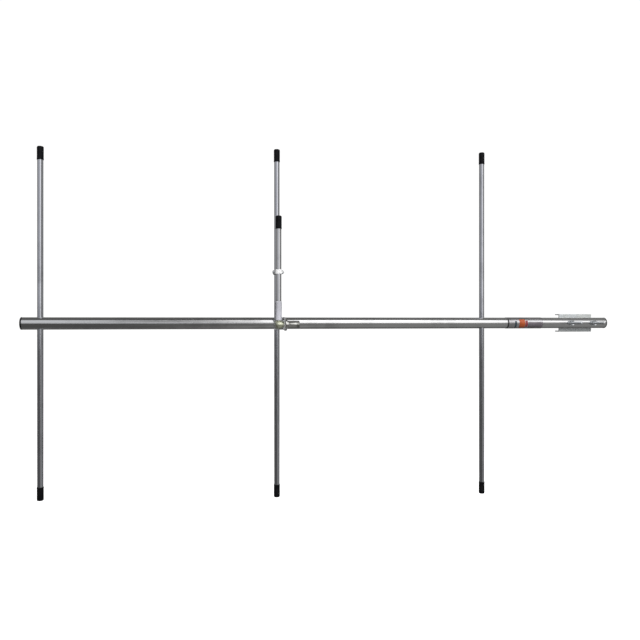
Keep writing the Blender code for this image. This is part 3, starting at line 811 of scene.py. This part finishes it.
def make_connector_insulator():
    """The socket's insulator, with a shallow ring sunk in its open face."""
    low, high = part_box("connector_insulator")
    middle = (low + high) / 2
    radius = (high.z - low.z) / 2
    half = (high.x - low.x) / 2
    bore = size_of("connector_contact").z / 2 + FIT_GAP
    outline = [
        (bore, half),
        (bore + 0.0012, half),
        (bore + 0.0016, half - 0.0006),
        (radius - 0.0016, half - 0.0006),
        (radius - 0.0012, half),
        (radius, half),
        (radius, -half),
        (bore, -half),
    ]
    mesh = lathe("connector_insulator_fine", outline, middle, ALONG_X, closed=True)
    add_piece(
        "connector_insulator_fine",
        mesh,
        "antenna",
        WHITE_INSULATOR,
        ["connector_insulator"],
    )


def make_contact():
    """The hollow centre contact, with a thin tail into the feed body."""
    low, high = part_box("connector_contact")
    radius = (high.z - low.z) / 2
    length = high.x - low.x
    pin_hole = 0.0019
    pin_depth = 0.012
    shoulder = 0.0066
    tail = 0.0015
    outline = [
        (0.0, length - pin_depth),
        (pin_hole, length - pin_depth),
        (pin_hole, length - 0.0004),
        (pin_hole + 0.0003, length),
        (radius - 0.0002, length),
        (radius, length - 0.0003),
        (radius, shoulder),
        (tail, shoulder),
        (tail, 0.0),
        (0.0, 0.0),
    ]
    place = (low.x, (low.y + high.y) / 2, (low.z + high.z) / 2)
    mesh = lathe("connector_contact_fine", outline, place, ALONG_X, SMALL_SIDES)
    add_piece(
        "connector_contact_fine", mesh, "antenna", OLIVE_BRASS, ["connector_contact"]
    )


def make_feed():
    refined("feed_bracket_fine", "feed_bracket", "antenna", SHEET_ALUMINIUM, 0.0004)
    make_feed_body()
    make_shell()
    make_gasket()
    make_connector_insulator()
    make_contact()
    for index in (1, 2):
        make_screw(f"feed_screw_{index}", "antenna", (0.0, -1.0, 0.0), FEED_SCREW)
    for index in range(1, 5):
        make_screw(f"flange_screw_{index}", "antenna", ALONG_X, FLANGE_SCREW)
        make_nut(f"flange_nut_{index}", "antenna", ALONG_X, FLANGE_NUT_BORE)


# The mast clamp
def make_saddle():
    refined("mast_saddle_fine", "mast_saddle", "antenna", SADDLE_ZINC, 0.0004)


def thread_radius(radius, along, angle):
    """The radius of a screw thread at a place along it and round it."""
    phase = (along / THREAD_PITCH - angle / (2 * math.pi)) % 1.0
    return radius - THREAD_DEPTH * (0.5 + 0.5 * math.cos(2 * math.pi * phase))


def make_u_bolt():
    """The U-bolt: plain bow, threaded legs with chamfered tips. Its rings follow its centre line."""
    low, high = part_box("u_bolt")
    radius = (high.z - low.z) / 2
    leg_x = (high.x - low.x) / 2 - radius
    bow_y = high.y - leg_x - radius
    tip_y = low.y
    rows_per_turn = 8
    thread_rows = int(THREAD_LENGTH / THREAD_PITCH * rows_per_turn)
    # Each station: its place, the way its ring is turned, and whether it is threaded
    stations = []
    for index in range(thread_rows + 1):
        stations.append((leg_x, tip_y + THREAD_LENGTH * index / thread_rows, 0.0, True))
    plain_steps = 4
    for index in range(1, plain_steps + 1):
        y = tip_y + THREAD_LENGTH + (bow_y - tip_y - THREAD_LENGTH) * index / plain_steps
        stations.append((leg_x, y, 0.0, False))
    bow_steps = 48
    for index in range(1, bow_steps):
        angle = math.pi * index / bow_steps
        stations.append((leg_x * math.cos(angle), bow_y + leg_x * math.sin(angle), angle, False))
    mirrored = [(-x, y, math.pi - turn, cut) for x, y, turn, cut in reversed(stations) if turn == 0.0]
    stations += mirrored
    bm = bmesh.new()
    rings = []
    for x, y, turn, threaded in stations:
        outward = Vector((math.cos(turn), math.sin(turn), 0.0))
        ring = []
        along = y - tip_y
        for index in range(BOLT_SIDES):
            angle = 2 * math.pi * index / BOLT_SIDES
            ring_radius = radius
            if threaded:
                fade = min(1.0, max(0.0, (THREAD_LENGTH - along) / THREAD_RUN_OUT))
                handed = angle if x > 0 else math.pi - angle
                ring_radius = radius + (thread_radius(radius, along, handed) - radius) * fade
                tip_limit = radius - THREAD_DEPTH - 0.0002 + along
                ring_radius = min(ring_radius, tip_limit)
            offset = outward * math.cos(angle) + Vector((0.0, 0.0, 1.0)) * math.sin(angle)
            ring.append(bm.verts.new(Vector((x, y, 0.0)) + offset * ring_radius))
        rings.append(ring)
    join_rings(bm, rings)
    bm.faces.new(list(reversed(rings[0])))
    bm.faces.new(rings[-1])
    mesh = mesh_of(bm, "u_bolt_fine")
    shade(mesh, 50.0)
    add_piece("u_bolt_fine", mesh, "bolt", ZINC, ["u_bolt"])


def make_washers_and_nuts():
    for end in ("front", "rear"):
        node = f"clamp_washer_{end}"
        low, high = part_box(node)
        radius = (high.x - low.x) / 2
        half = (high.y - low.y) / 2
        edge = 0.0003
        outline = [
            (BOLT_BORE, half - edge),
            (BOLT_BORE + edge, half),
            (radius - edge, half),
            (radius, half - edge),
            (radius, -half + edge),
            (radius - edge, -half),
            (BOLT_BORE + edge, -half),
            (BOLT_BORE, -half + edge),
        ]
        mesh = lathe(node + "_fine", outline, (low + high) / 2, ALONG_Y, closed=True)
        add_piece(node + "_fine", mesh, "antenna", ZINC, [node])
        node = f"clamp_spring_washer_{end}"
        refined(node + "_fine", node, "antenna", ZINC, 0.00025, 40.0)
        make_nut(f"clamp_nut_{end}", f"nut_{end}", ALONG_Y, BOLT_BORE)


# The label
LABEL_FILM = metal(
    "label_film", (0.80, 0.79, 0.80), (0.70, 0.69, 0.70), (0.22, 0.32), (0.1, 1.0, 1.0), 300.0
)
LABEL_FILM_THICKNESS = 0.0003
LABEL_LIFT = 0.00002
LABEL_PRINT_THICKNESS = 0.00006

# Each block: start and end in shares of the label's length, lower and upper edge in degrees, colour
LABEL_BLOCKS = [
    # A narrow near-black band round the lower three quarters of the boom, at the label's start.
    ("label_edge", 0.000, 0.034, -75.0, 40.0, (0.022, 0.022, 0.020)),
    ("label_bar", 0.200, 0.250, -55.0, 20.0, (0.030, 0.050, 0.065)),
    ("label_stripe", 0.325, 0.485, -58.0, 40.0, (0.40, 0.082, 0.022)),
    ("label_tab", 0.495, 0.560, -45.0, 25.0, (0.23, 0.042, 0.052)),
    ("label_field", 0.580, 0.985, -55.0, 8.0, (0.150, 0.133, 0.148)),
]


def make_label_block(name, start, end, low_angle, high_angle, colour):
    """One printed block: a thin curved plate just proud of the film."""
    low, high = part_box("boom_label")
    boom_low, boom_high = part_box("boom_tube")
    centre_y = (boom_low.y + boom_high.y) / 2
    film = (boom_high.z - boom_low.z) / 2 + FIT_GAP + LABEL_FILM_THICKNESS
    length = high.x - low.x
    ink = polymer(name + "_ink", colour, tuple(0.75 * c for c in colour), (0.28, 0.4), 90.0)
    steps = 24
    bm = bmesh.new()
    rows = []
    for x in (low.x + length * start, low.x + length * end):
        for lift in (0.0, LABEL_PRINT_THICKNESS):
            row = []
            for index in range(steps + 1):
                angle = math.radians(low_angle + (high_angle - low_angle) * index / steps)
                reach = film + LABEL_LIFT + lift
                y = centre_y - reach * math.cos(angle)
                row.append(bm.verts.new((x, y, reach * math.sin(angle))))
            rows.append(row)
    left_in, left_out, right_in, right_out = rows
    around = [left_in, left_out, right_out, right_in]
    for row, beside in zip(around, around[1:] + around[:1]):
        for index in range(steps):
            bm.faces.new((row[index], row[index + 1], beside[index + 1], beside[index]))
    for index in (0, steps):
        bm.faces.new((left_in[index], left_out[index], right_out[index], right_in[index]))
    mesh = mesh_of(bm, name)
    shade(mesh, 30.0)
    add_piece(name, mesh, "antenna", ink, [])


def make_label():
    """The film keeps the frame's own shape; its print, and a near-black band at its start, are plain
    coloured blocks.
    """
    for block in LABEL_BLOCKS:
        make_label_block(*block)
    node = "boom_label"
    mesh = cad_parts[node].data
    mesh.materials.clear()
    mesh.materials.append(LABEL_FILM)


# Camera, floor and light
def grey(value):
    return (value, value, value)


# The room that the metal reflects: brightness of its parts, and the spans in degrees where they meet
FLOOR_LEFT = 0.070
FLOOR_RIGHT = 0.20
FLOOR_BEHIND = 0.105
WALL = 0.21
CEILING = 0.075
FLOOR_TURN = (-12.0, 25.0)
WALL_FOOT = (-2.0, 1.5)
PANEL_CHANGE = (20.0, 12.0)
CEILING_EDGE = (52.0, 72.0)
BACKDROP = 1.05  # what the camera sees behind the antenna

# Panels on the walls: bearings in degrees where each rises and falls, and its light
LOW_PANELS = [
    ((-84.0, -44.0), (-24.0, -10.0), (0.37, 0.38, 0.41)),
    ((-24.0, -8.0), (4.0, 12.0), (0.50, 0.51, 0.54)),
    ((3.0, 12.0), (24.0, 40.0), (0.95, 0.95, 0.96)),
]
HIGH_PANELS = [
    ((-84.0, -44.0), (-9.0, -5.0), (0.56, 0.57, 0.60)),
    ((-9.0, -4.0), (4.0, 12.0), (0.26, 0.26, 0.27)),
    ((3.0, 11.0), (36.0, 52.0), (1.45, 1.45, 1.48)),
]


FLOOR_PLACE = (-0.7, 0.0, -0.95)
FLOOR_HALF = 14.0
FLOOR_GLOW = 0.80

# Lights: name, place, size and power in watts, all aimed at the antenna's middle
LIGHT_TARGET = (-0.70, -0.05, 0.0)
LIGHTS = [
    ("key_softbox", (-0.3, -2.2, 1.9), (2.6, 1.4), 74.0),
    ("front_fill", (-1.0, -2.8, 0.4), (2.0, 1.6), 26.0),
    ("rear_fill", (-0.9, 2.6, 1.4), (2.5, 1.2), 15.0),
]


def make_camera():
    data = bpy.data.cameras.new("camera")
    data.lens = LENS_MM
    data.sensor_width = SENSOR_MM
    data.clip_start = 0.05
    data.clip_end = 60.0
    camera = bpy.data.objects.new("camera", data)
    camera.location = CAMERA_PLACE
    camera.rotation_euler = (math.pi / 2, 0.0, CAMERA_YAW)
    bpy.context.scene.collection.objects.link(camera)
    bpy.context.scene.camera = camera


def make_floor():
    """A plain pale floor, well below the antenna. It glows for the camera and lights nothing else."""
    bm = bmesh.new()
    bmesh.ops.create_grid(bm, x_segments=2, y_segments=2, size=FLOOR_HALF)
    mesh = bpy.data.meshes.new("floor")
    bm.to_mesh(mesh)
    bm.free()
    floor = bpy.data.objects.new("floor", mesh)
    floor.location = FLOOR_PLACE
    material, _, _, shader = node_setup("pale_floor")
    shader.inputs["Base Color"].default_value = (0.9, 0.9, 0.9, 1.0)
    shader.inputs["Roughness"].default_value = 0.9
    shader.inputs["Emission Color"].default_value = (1.0, 1.0, 1.0, 1.0)
    shader.inputs["Emission Strength"].default_value = FLOOR_GLOW
    mesh.materials.append(material)
    floor.visible_glossy = False
    floor.visible_diffuse = False
    bpy.context.scene.collection.objects.link(floor)


def area_light(name, place, size, power):
    """A soft rectangular light. Metal doesn't mirror it: the room above does that."""
    data = bpy.data.lights.new(name, "AREA")
    data.shape = "RECTANGLE"
    data.size, data.size_y = size
    data.energy = power
    light = bpy.data.objects.new(name, data)
    light.location = place
    towards = Vector(LIGHT_TARGET) - Vector(place)
    light.rotation_euler = towards.to_track_quat("-Z", "Y").to_euler()
    light.visible_glossy = False
    bpy.context.scene.collection.objects.link(light)


def math_node(nodes, links, operation, first, second=None):
    """A math node's result; each input is a number or another node's output."""
    node = nodes.new("ShaderNodeMath")
    node.operation = operation
    for socket, value in ((node.inputs[0], first), (node.inputs[1], second)):
        if isinstance(value, float):
            socket.default_value = value
        elif value is not None:
            links.new(value, socket)
    return node.outputs[0]


def step(nodes, links, angle, span, low=0.0, high=1.0):
    """Goes from low to high as an angle crosses a span given in degrees."""
    start, end = span
    return spread(nodes, links, angle, low, high, math.radians(start), math.radians(end))


def band(nodes, links, angle, rise, fall):
    """One between two edges, fading to zero over the span of each, which is given in degrees."""
    up = step(nodes, links, angle, rise)
    down = step(nodes, links, angle, fall, 1.0, 0.0)
    return math_node(nodes, links, "MULTIPLY", up, down)


def make_world():
    """White to the camera. The metal sees a room: grey floor and walls, dark ceiling, lit panels.

    Bearings are seen from the antenna: zero towards the camera's side, positive towards the mast end.
    """
    world = bpy.data.worlds.new("studio")
    world.use_nodes = True
    nodes = world.node_tree.nodes
    links = world.node_tree.links
    nodes.clear()
    place = nodes.new("ShaderNodeTexCoord")
    split = nodes.new("ShaderNodeSeparateXYZ")
    links.new(place.outputs["Generated"], split.inputs["Vector"])
    x, y, z = split.outputs
    elevation = math_node(nodes, links, "ARCSINE", z)
    forward = math_node(nodes, links, "MULTIPLY", y, -1.0)
    bearing = math_node(nodes, links, "ARCTAN2", x, forward)

    floor_light = step(nodes, links, bearing, FLOOR_TURN, FLOOR_LEFT, FLOOR_RIGHT)
    behind = spread(nodes, links, y, 0.0, 1.0, -0.2, 0.4)
    floor_colour = blend_colour(nodes, links, behind, grey(0.0), grey(FLOOR_BEHIND))
    links.new(floor_light, floor_colour.node.inputs[6])

    walls = {}
    for height, panels in (("low", LOW_PANELS), ("high", HIGH_PANELS)):
        walls[height] = grey(WALL)
        for rise, fall, colour in panels:
            lit = band(nodes, links, bearing, rise, fall)
            walls[height] = blend_colour(nodes, links, lit, walls[height], colour)
    low_part = step(nodes, links, elevation, PANEL_CHANGE)
    walls = blend_colour(nodes, links, low_part, walls["high"], walls["low"])
    above_floor = step(nodes, links, elevation, WALL_FOOT)
    room = blend_colour(nodes, links, above_floor, floor_colour, walls)
    overhead = step(nodes, links, elevation, CEILING_EDGE)
    room = blend_colour(nodes, links, overhead, room, grey(CEILING))

    seen_by_metal = nodes.new("ShaderNodeBackground")
    links.new(room, seen_by_metal.inputs["Color"])
    white = nodes.new("ShaderNodeBackground")
    white.inputs["Color"].default_value = (1.0, 1.0, 1.0, 1.0)
    white.inputs["Strength"].default_value = BACKDROP
    path = nodes.new("ShaderNodeLightPath")
    mix = nodes.new("ShaderNodeMixShader")
    output = nodes.new("ShaderNodeOutputWorld")
    links.new(path.outputs["Is Camera Ray"], mix.inputs["Fac"])
    links.new(seen_by_metal.outputs["Background"], mix.inputs[1])
    links.new(white.outputs["Background"], mix.inputs[2])
    links.new(mix.outputs["Shader"], output.inputs["Surface"])
    bpy.context.scene.world = world


def make_stage():
    make_camera()
    make_floor()
    make_world()
    for light in LIGHTS:
        area_light(*light)
    bpy.context.scene.view_settings.view_transform = "Standard"


def make_antenna():
    make_boom()
    make_boom_caps()
    for name in ("director", "driven", "reflector"):
        make_tube(f"{name}_element", f"{name}_tube", "antenna")
        make_cap(f"{name}_cap_top", "antenna", 1)
        make_cap(f"{name}_cap_bottom", "antenna", -1)
        make_screw(f"{name}_lock_screw", "antenna", ALONG_Y, LOCK_SCREW)
    make_gamma()
    make_strap()
    make_feed()
    make_saddle()
    make_u_bolt()
    make_washers_and_nuts()
    make_label()


make_stage()
make_antenna()
